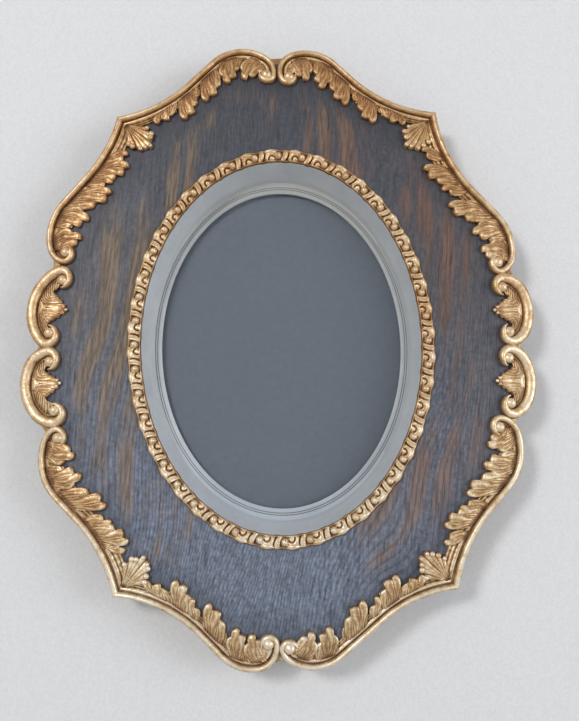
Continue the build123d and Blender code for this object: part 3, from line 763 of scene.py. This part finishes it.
def rope_relief(along, across, unit):
    """Height of the rope's carving: bosses, with a curl cut into each leaf."""
    relief = np.full(along.shape, ROPE_BASE)
    along = (along + ROPE_BOW * across**2) % unit
    for shape in ROPE_BOSSES:
        for turn in (-unit, 0.0, unit):
            relief = np.maximum(relief, boss(along - turn, across, *shape))
    place, off, radius, wide, deep = ROPE_CURL
    from_curl = np.hypot(along - place, across - off)
    open_side = smooth_step(*ROPE_CURL_OPENS, across - off + 0.5 * (place - along))
    relief = relief - deep * np.exp(-(((from_curl - radius) / wide) ** 2)) * open_side
    place, off, long, _, _, lean = ROPE_BOSSES[0]
    ribs = 0.5 - 0.5 * np.cos(2 * pi * (along - place - lean * (across - off)) / BEAD_RIBS)
    relief = relief - RIB_DEPTH * ribs * np.exp(-(((along - place) / long) ** 4))
    return np.maximum(relief, boss(along, across, *ROPE_CURL_KNOB))


def rope_strip(quarter, name, gilding):
    """A quarter of the twisted rope, with its own end faces."""
    angles, gone = rope_course()
    start, end = np.interp([quarter * pi / 2, (quarter + 1) * pi / 2], angles, gone)
    travel = np.linspace(start + ROPE_END_GAP, end - ROPE_END_GAP, ROPE_STEPS)[:, None]
    angle = np.interp(travel, gone, angles)
    unit = gone[-1] / ROPE_UNITS
    along = (ROPE_PHASE - travel) % unit
    leafy, beady = (np.exp(-(((along - place) / long) ** 2)) for place, long in (ROPE_LEAF, ROPE_BEAD))
    outside, inside = (a + b * leafy + c * beady for a, b, c in (ROPE_OUTSIDE, ROPE_INSIDE))
    share = np.linspace(-1, 1, ROPE_COLUMNS)[None]
    across = share * np.where(share > 0, outside, inside)
    dome = (1 - np.abs(share) ** 8) ** 0.5
    rim = ROPE_RIM * np.exp(-(((np.abs(share) - 0.82) / 0.13) ** 2))
    height = np.maximum(rope_relief(np.broadcast_to(along, across.shape), across, unit), rim) * dome
    out_x = np.cos(angle) * ROPE_MIDDLE[1]
    out_y = np.sin(angle) * ROPE_MIDDLE[0]
    across = across / np.hypot(out_x, out_y)
    px = ROPE_MIDDLE[0] * np.cos(angle) + out_x * across
    py = ROPE_MIDDLE[1] * np.sin(angle) + out_y * across
    rows = np.stack([px, py, CROWN + height], -1)
    low = rows[:, (0, -1)]
    low[..., 2] = CROWN
    rows = np.concatenate([low[:, :1], rows, low[:, 1:]], 1)
    dark = np.ones((ROPE_STEPS, 1))
    depth = np.concatenate([dark, 0.9 * (1 - smooth_step(*ROPE_SHADE, height)), dark], 1)
    gilded(name, [skin(rows, depth)], gilding)


def liner(silver):
    """Silver liner: a lip with two fine lines cut round it, and a slope up to the rope."""
    lip_in, lip_down = LIP_ROUND
    steps = [(0.0, GLASS_FRONT, 0.3), (0.0, LIP_FRONT - lip_down, 0.1), (lip_in, LIP_FRONT, 0.0)]
    for line in LINER_LINES:
        steps += [(line - LINE_TOP, LIP_FRONT, 0.0), (line - LINE_BED, LIP_FRONT - LINE_DEPTH, 1.0)]
        steps += [(line + LINE_BED, LIP_FRONT - LINE_DEPTH, 1.0), (line + LINE_TOP, LIP_FRONT, 0.0)]
    rows = [(*(SIGHT + off), height, shade) for off, height, shade in steps]
    top = CROWN - LINER_DROP
    for share, rise in LINER_SLOPE:
        half = SIGHT + (ROPE_INNER - SIGHT) * share
        rows.append((*half, LIP_FRONT + rise * (top - LIP_FRONT), 0.35 * smooth_step(0, 0.3, rise)))
    outer = ROPE_INNER + LINER_FLANGE
    rows += [(*outer, top, 1.0), (*outer, GLASS_FRONT, 1.0)]
    half_x, half_y, height, shade = np.array(rows).T
    angle = np.linspace(0, 2 * pi, LINER_POINTS, endpoint=False)[:, None]
    px = np.cos(angle) * half_x
    py = np.sin(angle) * half_y
    made = skin(np.stack([px, py, height + 0 * px], -1), shade[None], loop=True)
    piece("liner_leafed", "liner", [made], [silver], JOINERY_CREASE)


def edge_points(path, way, notch):
    """Points just inside a path, until it has turned back by the notch's angle."""
    turned = np.degrees(path[:, 2] - path[0, 2]) * way
    low = np.argmin(turned)
    past = (np.arange(len(path)) > low) & (turned - turned[low] > notch)
    stop = np.argmax(past) if past.any() else len(path)
    return np.stack(inwards(*path[:stop, :3].T, way, PANEL_INSET), -1)


def rail_edge(name):
    """The panel's edge under one scroll, as far as the notches beside it."""
    if name in C_SCROLLS:
        side, *belly, lean = C_SCROLLS[name][:4]
        arms = []
        for way, steps in c_arms(name):
            arms.append(edge_points(walk(belly, way * 90 + lean, steps), way, BELLY_NOTCH_TURN))
        return flipped(np.concatenate([arms[0][:0:-1], arms[1]]), side)
    side, half, way, heading, steps = corner_course(name)
    return flipped(edge_points(walk(CORNER, heading, steps), way, NOTCH_TURN), side, half)


def panel_outline():
    """The whole edge of the panel, anticlockwise from the upper right corner."""
    return np.concatenate([rail_edge(name)[::way] for name, way in EDGE_COURSE.items()])[:-1]


def panel(wood, gilding):
    """The crowned panel with its gilded edge, liner seat and rebate."""
    edge = panel_outline()
    angle = np.unwrap(np.arctan2(edge[:, 1], edge[:, 0]))
    edge = edge[np.concatenate([[True], np.diff(np.maximum.accumulate(angle)) > SAME_TURN])]
    radius = np.hypot(edge[:, 0], edge[:, 1])
    out = edge / radius[:, None]
    seat, rebate = (
        1 / np.hypot(out[:, 0] / half[0], out[:, 1] / half[1])
        for half in (ROPE_INNER + LINER_FLANGE + SEAT_PLAY, SIGHT + REBATE_WIDTH)
    )
    share = np.linspace(0, 1, BOARD_RINGS)
    rings = [seat + (radius - EDGE_BAND - seat) * s for s in share] + [radius - EDGE_ROUND, radius]
    tops = [crown(*(out * r[:, None]).T) for r in rings]
    tops[-1] = tops[-1] - EDGE_ROUND
    rings += [radius, radius - BACK_ROUND, rebate, rebate, seat]
    tops += [np.full_like(radius, z) for z in (BACK + BACK_ROUND, BACK, BACK, GLASS_FRONT, GLASS_FRONT)]
    rows = np.stack([np.stack([*(out * r[:, None]).T, z], -1) for r, z in zip(rings, tops)], 1)
    shade = np.zeros(len(rings))
    shade[:BOARD_RINGS] = 0.4 * smooth_step(0.5, 0.85, share) + 0.3 * smooth_step(0.12, 0.0, share)
    shade[BOARD_RINGS - 1:BOARD_RINGS + 3] = (0.5, 0.3, 0.3, 0.5)
    made = skin(rows, shade[None], loop=True)
    made = piece("panel_stained", "panel", [made], [wood, gilding], JOINERY_CREASE)
    gilt = []
    for face in made.data.polygons:
        columns = sorted(k % len(rings) for k in face.vertices)
        gilt.append(int(columns[0] >= BOARD_RINGS - 1 and columns[-1] <= BOARD_RINGS + 2))
    made.data.polygons.foreach_set("material_index", gilt)


class Nodes:
    """Short hand for building a node material."""

    def __init__(self, name):
        self.material = bpy.data.materials.new(name)
        self.material.use_nodes = True
        self.tree = self.material.node_tree
        self.shader = self.tree.nodes["Principled BSDF"]
        self.where = self.add("ShaderNodeTexCoord").outputs["Object"]

    def fill(self, socket, value):
        """Links a socket, or gives it a value or the colour of a hex code."""
        if isinstance(value, bpy.types.NodeSocket):
            self.tree.links.new(value, socket)
        else:
            socket.default_value = colour(value) if isinstance(value, str) else value

    def add(self, kind, inputs=(), **settings):
        node = self.tree.nodes.new(kind)
        for key, value in settings.items():
            setattr(node, key, value)
        for key, value in dict(inputs).items():
            self.fill(node.inputs[key], value)
        return node

    def axis(self, name):
        """Place along one of the frame's axes."""
        return self.add("ShaderNodeSeparateXYZ", {"Vector": self.where}).outputs[name]

    def along(self, stretch, lean, shift=(0, 0, 0)):
        """Places leaned over, then drawn out along the grain."""
        inputs = dict(Vector=self.where, Scale=(1, 1, stretch), Rotation=(0, lean, 0), Location=shift)
        return self.add("ShaderNodeMapping", inputs, vector_type="TEXTURE").outputs["Vector"]

    def noise(self, vector, scale, detail, rough):
        inputs = dict(Vector=vector, Scale=scale, Detail=detail, Roughness=rough)
        return self.add("ShaderNodeTexNoise", inputs).outputs["Fac"]

    def ramp(self, value, *stops):
        node = self.add("ShaderNodeValToRGB", {"Fac": value})
        line = node.color_ramp
        while len(line.elements) < len(stops):
            line.elements.new(0.5)
        for element, (place, code) in zip(line.elements, stops):
            element.position = place
            element.color = colour(code)
        return node.outputs["Color"]

    def mix(self, share, first, second, blend="MIX"):
        inputs = {0: share, 6: first, 7: second}
        return self.add("ShaderNodeMix", inputs, data_type="RGBA", blend_type=blend).outputs[2]

    def math(self, kind, first, second=0.0):
        return self.add("ShaderNodeMath", {0: first, 1: second}, operation=kind).outputs[0]

    def times(self, first, second):
        return self.math("MULTIPLY", first, second)

    def total(self, *values):
        result = values[0]
        for value in values[1:]:
            result = self.math("ADD", result, value)
        return result

    def waves(self, value, pitch):
        return self.math("SINE", self.times(value, 2 * pi / pitch))

    def span(self, *values):
        """A value stretched from its range to another one, or from 0 to 1."""
        return self.add("ShaderNodeMapRange", dict(enumerate(values))).outputs["Result"]

    def hollow(self):
        """How deep a point lies in shade."""
        return self.add("ShaderNodeAttribute", attribute_name="hollow").outputs["Fac"]

    def bump(self, height, strength, distance):
        node = self.add("ShaderNodeBump", dict(Height=height, Strength=strength, Distance=distance))
        self.set(Normal=node.outputs["Normal"])

    def set(self, **values):
        for key, value in values.items():
            self.fill(self.shader.inputs[key.replace("_", " ")], value)


def colour(code):
    """Linear colour from a hex code."""
    values = [int(code[k:k + 2], 16) / 255 for k in (0, 2, 4)]
    return (*(v / 12.92 if v <= 0.04045 else ((v + 0.055) / 1.055) ** 2.4 for v in values), 1)


def gilding_material():
    """Old gilding: pale worn crests with painted highlight, dull gold flanks in painted shade, and brown
    patina with painted shade in the hollows.
    """
    n = Nodes("gilding")
    up = n.axis("Z")
    blotch = n.noise(n.where, 170, 4, 0.65)
    grain = n.noise(n.where, 1100, 3, 0.6)
    drift = n.noise(n.where, 16, 2, 0.5)
    wide = n.noise(n.where, 330, 3, 0.6)
    uneven = (n.span(blotch, 0.3, 0.7, -0.22, 0.26), n.span(grain, 0.3, 0.7, -0.12, 0.12))
    # Painted light and shade: paler towards the bottom and a little darker at the top
    depth = n.total(n.hollow(), *uneven, n.span(up, *GOLD_SHADE_ABOVE, -0.05, 0.02))
    # Ramp over the painted shade value: palest on crests as painted highlight, darker on flanks and in
    # hollows as painted shade and brown patina
    golds = ((0.0, "EDE2CB"), (0.15, "DAC7A1"), (0.36, "B8996D"), (0.66, "8A6540"), (0.95, "553923"))
    gold = n.ramp(depth, *golds)
    gold = n.mix(n.span(drift, 0.4, 0.62, 0.0, 0.3), gold, "D8A868", "MULTIPLY")
    # Painted light: warmer and darker towards the top, cooler towards the bottom
    gold = n.mix(n.span(up, *GOLD_WARM_LIGHT_ABOVE, 0.1, 0.7), gold, "DDBE98", "MULTIPLY")
    gold = n.mix(n.span(up, *GOLD_COOL_LIGHT_BELOW, 0.5, 0.0), gold, "F0F4FF", "MULTIPLY")
    metal = n.span(depth, 0.2, 0.95, 0.5, 0.1)
    n.set(Base_Color=gold, Metallic=metal, Roughness=n.span(depth, 0.0, 0.9, 0.37, 0.58))
    n.bump(n.total(n.times(wide, 0.8), n.times(grain, 0.3)), 0.6, GOLD_TEXTURE)
    return n.material


def silver_material():
    """Silver leaf gone a soft grey, with painted light warmer at the top, cooler below, paler on its
    slope and at its left, and painted shade in its cut lines.
    """
    n = Nodes("silver_leaf")
    hollow = n.hollow()
    cloud = n.noise(n.where, 45, 5, 0.65)
    fleck = n.noise(n.where, 700, 3, 0.7)
    # Painted light: cooler below, warmer above
    tint = n.ramp(n.span(n.axis("Z"), *SILVER_COOL_LIGHT_BELOW), (0.0, "A2ABB3"), (0.5, "A5A9AB"), (1.0, "9C9D9A"))
    # Painted light: the slope paler than the flat lip, and the left side paler
    tint = n.mix(n.span(hollow, 0.0, 0.35, 0.0, 0.75), tint, "C2C6C9")
    tint = n.mix(n.span(n.axis("X"), *SILVER_LIGHT_LEFT, 0.55, 0.0), tint, "D6DADD")
    tint = n.mix(n.span(cloud, 0.35, 0.7, 0.0, 0.35), tint, "90949A")
    tint = n.mix(n.span(fleck, 0.6, 0.74, 0.0, 0.25), tint, "74777C")
    # Painted shade: darker in the cut lines and on the hidden flange
    tint = n.mix(n.span(hollow, 0.5, 1.0, 0.0, 0.9), tint, "4E4B45")
    n.set(Base_Color=tint, Metallic=0.15, Roughness=n.span(cloud, 0.3, 0.7, 0.5, 0.62))
    n.bump(n.total(cloud, n.times(fleck, 0.3)), 0.12, SILVER_TEXTURE)
    return n.material


def grain_places(n, right, up):
    """Distance across the wood's grain, which bows, slants and wavers."""
    field = n.noise(n.along(2.2, 0.2, (0.3, 0, 0.1)), 9, 2, 0.4)
    ripple = n.noise(n.along(4.0, 0.1), 90, 3, 0.6)
    leaning = (n.times(n.times(up, up), GRAIN_BOW), n.times(up, GRAIN_SLANT))
    return n.total(right, *leaning, n.times(field, GRAIN_DRIFT), n.times(ripple, GRAIN_WAVER))


def rubbed_places(n, right, up, rings):
    """Where the stain is rubbed back to brown: patches at the sides and near the top."""
    away = n.math("ABSOLUTE", right)
    stain = n.noise(n.along(2.8, 0.22, (0.4, 0, 0.2)), 27, 4, 0.55)
    low = n.span(n.total(up, n.times(right, 0.5)), *BROWN_ENDS, -0.06, 0.0)
    high = n.times(n.span(up, *BROWN_TOP, 0.0, 0.035), n.span(away, *BROWN_MIDDLE, 1.0, -2.0))
    share = n.span(n.total(stain, n.span(away, *BROWN_SIDES, -0.05, 0.03), low, high), 0.47, 0.56)
    return n.times(share, n.span(rings, -0.8, 0.1, 0.15, 0.95))


def wood_material():
    """Oak stained a dark slate blue, rubbed back to brown in patches, with fine dark grooves, and painted
    light and sheen that make it paler and bluer towards the bottom.
    """
    n = Nodes("stained_oak")
    hollow = n.hollow()
    right = n.axis("X")
    up = n.axis("Z")
    across = grain_places(n, right, up)
    grooves = n.waves(across, GROOVE_PITCH)
    fibres = n.noise(n.along(11.0, 0.1), 640, 4, 0.7)
    pores = n.noise(n.along(9.0, 0.1), 520, 3, 0.7)
    mottle = n.noise(n.where, 330, 4, 0.7)
    # Painted light and sheen: slate paler and bluer towards the bottom, darker at the top
    height = n.span(up, *SLATE_LIGHT_BELOW)
    slate = n.ramp(height, (0.0, "818C9F"), (0.3, "757D8F"), (0.6, "575A64"), (1.0, "46484E"))
    slate = n.mix(n.span(right, *SLATE_WARMS, 0.0, 0.5), slate, "564E4B")
    slate = n.mix(n.span(mottle, 0.38, 0.6, 0.5, 0.0), slate, "2E3038")
    brown = n.mix(n.span(right, *BROWN_REDDENS), "806B52", "755748")
    brown = n.mix(n.span(fibres, 0.38, 0.6, 0.5, 0.0), brown, "5A4738")
    # Painted sheen: brown paler and greyer towards the bottom
    brown = n.mix(n.span(up, *BROWN_SHEEN_BELOW, 0.4, 0.0), brown, "918783")
    rubbed = rubbed_places(n, right, up, n.waves(across, RING_PITCH))
    base = n.mix(n.times(rubbed, n.span(hollow, 0.02, 0.3, 0.85, 0.05)), slate, brown)
    line = n.times(n.span(grooves, -1.0, -0.1, 1.0, 0.0), n.span(up, *GROOVES_FADE, 0.42, 0.2))
    base = n.mix(line, base, "2E323D")
    base = n.mix(n.span(hollow, 0.0, 0.45, 0.0, 0.45), base, "31343D")
    base = n.mix(n.span(fibres, 0.4, 0.58, 0.4, 0.0), base, "2B2B31")
    base = n.mix(n.span(pores, 0.58, 0.66, 0.0, 0.5), base, "222226")
    n.set(Base_Color=base, Roughness=n.span(fibres, 0.3, 0.7, 0.62, 0.48), Specular_IOR_Level=0.35)
    n.bump(n.total(n.times(fibres, 0.5), n.times(grooves, 0.2)), 0.3, FINE_TEXTURE)
    return n.material


def plain_material(name, light, dark, scale, rough, metal=0.0, bump=0.1):
    """Surface with a fine uneven colour and texture."""
    n = Nodes(name)
    grain = n.noise(n.where, scale, 4, 0.6)
    roughness = n.span(grain, 0.3, 0.7, rough + 0.06, rough - 0.06)
    n.set(Base_Color=n.ramp(grain, (0.3, dark), (0.7, light)), Metallic=metal, Roughness=roughness)
    n.bump(grain, bump, FINE_TEXTURE)
    return n.material


def glass_material():
    """Clear pane: mostly see-through, with a faint sheen."""
    n = Nodes("clear_glass")
    smear = n.span(n.noise(n.where, 30, 3, 0.6), 0.3, 0.7, 0.02, 0.06)
    n.set(Base_Color=(0.5, 0.52, 0.54, 1), Roughness=smear, Alpha=0.03, IOR=1.3)
    return n.material


def wall_material():
    """Pale wall that shows to the camera from the front only."""
    n = Nodes("pale_wall")
    grain = n.noise(n.where, 700, 3, 0.6)
    n.set(Base_Color=n.ramp(grain, (0.3, "C9CACC"), (0.7, "D3D4D5")), Roughness=0.95)
    seen = n.add("ShaderNodeLightPath").outputs["Is Camera Ray"]
    behind = n.add("ShaderNodeNewGeometry").outputs["Backfacing"]
    front = n.times(seen, n.math("SUBTRACT", 1.0, behind))
    clear = n.add("ShaderNodeBsdfTransparent").outputs[0]
    both = n.add("ShaderNodeMixShader", {0: front, 1: clear, 2: n.shader.outputs[0]})
    n.tree.links.new(both.outputs[0], n.tree.nodes["Material Output"].inputs["Surface"])
    return n.material


def fittings():
    """Finishes of the sheets behind the liner and of the fittings on the back."""
    brass = plain_material("aged_brass", "B8965A", "7D6236", 500, 0.38, 0.9, 0.08)
    finishes = {
        "glass": glass_material(),
        "picture_card": plain_material("grey_card", "5C636D", "59606A", 300, 0.85, bump=0.02),
        "backing_board": plain_material("backing_board", "8A6C4A", "6E5338", 260, 0.8, bump=0.3),
        "wall_pads": plain_material("felt", "3A3A3D", "1C1C1F", 1500, 0.95, bump=0.9),
        "back_screws": brass,
    }
    for name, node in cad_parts.items():
        if name.startswith("turn_button") or "hanger" in name:
            finishes[name] = brass
        if name in finishes:
            node.data.materials.clear()
            node.data.materials.append(finishes[name])


def flat(name, corners, material):
    """A flat four-cornered sheet that isn't part of the object."""
    mesh = bpy.data.meshes.new(name)
    mesh.from_pydata(corners, [], [(0, 1, 2, 3)])
    mesh.materials.append(material)
    placed(name, mesh)


def backdrop():
    """Pale floor below the frame and a pale wall behind it."""
    near, far = FLOOR_ENDS
    sheet = ((-1, 0), (1, 0), (1, 1), (-1, 1))
    floor = [(side * FLOOR_SIDE, far if end else near, FLOOR_LEVEL) for side, end in sheet]
    wall = [(side * WALL_SIDE, WALL_BACK, WALL_TOP if end else FLOOR_LEVEL) for side, end in sheet]
    flat("floor", floor, plain_material("pale_floor", "D8D8D6", "D2D2D0", 6, 0.9, bump=0.0))
    flat("wall", wall, wall_material())


def lamp(name, place, size, power, tint):
    """Soft square studio lamp, aimed at the middle of the frame."""
    light = bpy.data.lights.new(name, "AREA")
    light.energy = power
    light.size = size
    light.color = tint
    made = placed(name, light)
    made.location = place
    made.rotation_mode = "QUATERNION"
    made.rotation_quaternion = (-Vector(place)).to_track_quat("-Z", "Y")


def surroundings():
    """Even pale light from all round."""
    world = bpy.data.worlds.new("surroundings")
    bpy.context.scene.world = world
    world.use_nodes = True
    tree = world.node_tree
    path = tree.nodes.new("ShaderNodeLightPath")
    mix = tree.nodes.new("ShaderNodeMixShader")
    tree.links.new(path.outputs["Is Camera Ray"], mix.inputs[0])
    for number, (tint, strength) in enumerate(AIR, 1):
        glow = tree.nodes.new("ShaderNodeBackground")
        glow.inputs["Color"].default_value = tint
        glow.inputs["Strength"].default_value = strength
        tree.links.new(glow.outputs[0], mix.inputs[number])
    tree.links.new(mix.outputs[0], tree.nodes["World Output"].inputs["Surface"])


def camera():
    """The photograph's camera, square on to the frame and a little below its middle."""
    data = bpy.data.cameras.new("camera")
    data.sensor_width = SENSOR
    data.lens = FOCAL_PIXELS / PICTURE_HEIGHT * SENSOR
    data.clip_start = CAMERA_NEAR
    data.clip_end = CAMERA_FAR
    made = placed("camera", data)
    rx, ry, rz = CAMERA_TURN
    turn = Matrix.Rotation(rz, 3, "Z") @ Matrix.Rotation(ry, 3, "Y") @ Matrix.Rotation(rx, 3, "X")
    upright = Matrix.Rotation(pi / 2, 3, "X")
    made.matrix_world = Matrix.Translation(EYE) @ (upright @ turn.transposed()).to_4x4()
    bpy.context.scene.camera = made


def main():
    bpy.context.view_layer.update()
    camera()
    gilding = gilding_material()
    panel(wood_material(), gilding)
    liner(silver_material())
    for name, roots in zip((*LONG_SCROLLS, *SHOULDER_SCROLLS), ROOT_SHARES):
        corner_scroll(name, roots, gilding)
    for name in C_SCROLLS:
        c_scroll(name, gilding)
    for name in PALMETTES:
        palmette(name, gilding)
    for quarter, name in enumerate(ROPE_STRIPS):
        rope_strip(quarter, name, gilding)
    fittings()
    backdrop()
    for name, settings in LAMPS.items():
        lamp(name, *settings)
    surroundings()
    bpy.context.scene.view_settings.view_transform = "Standard"


main()
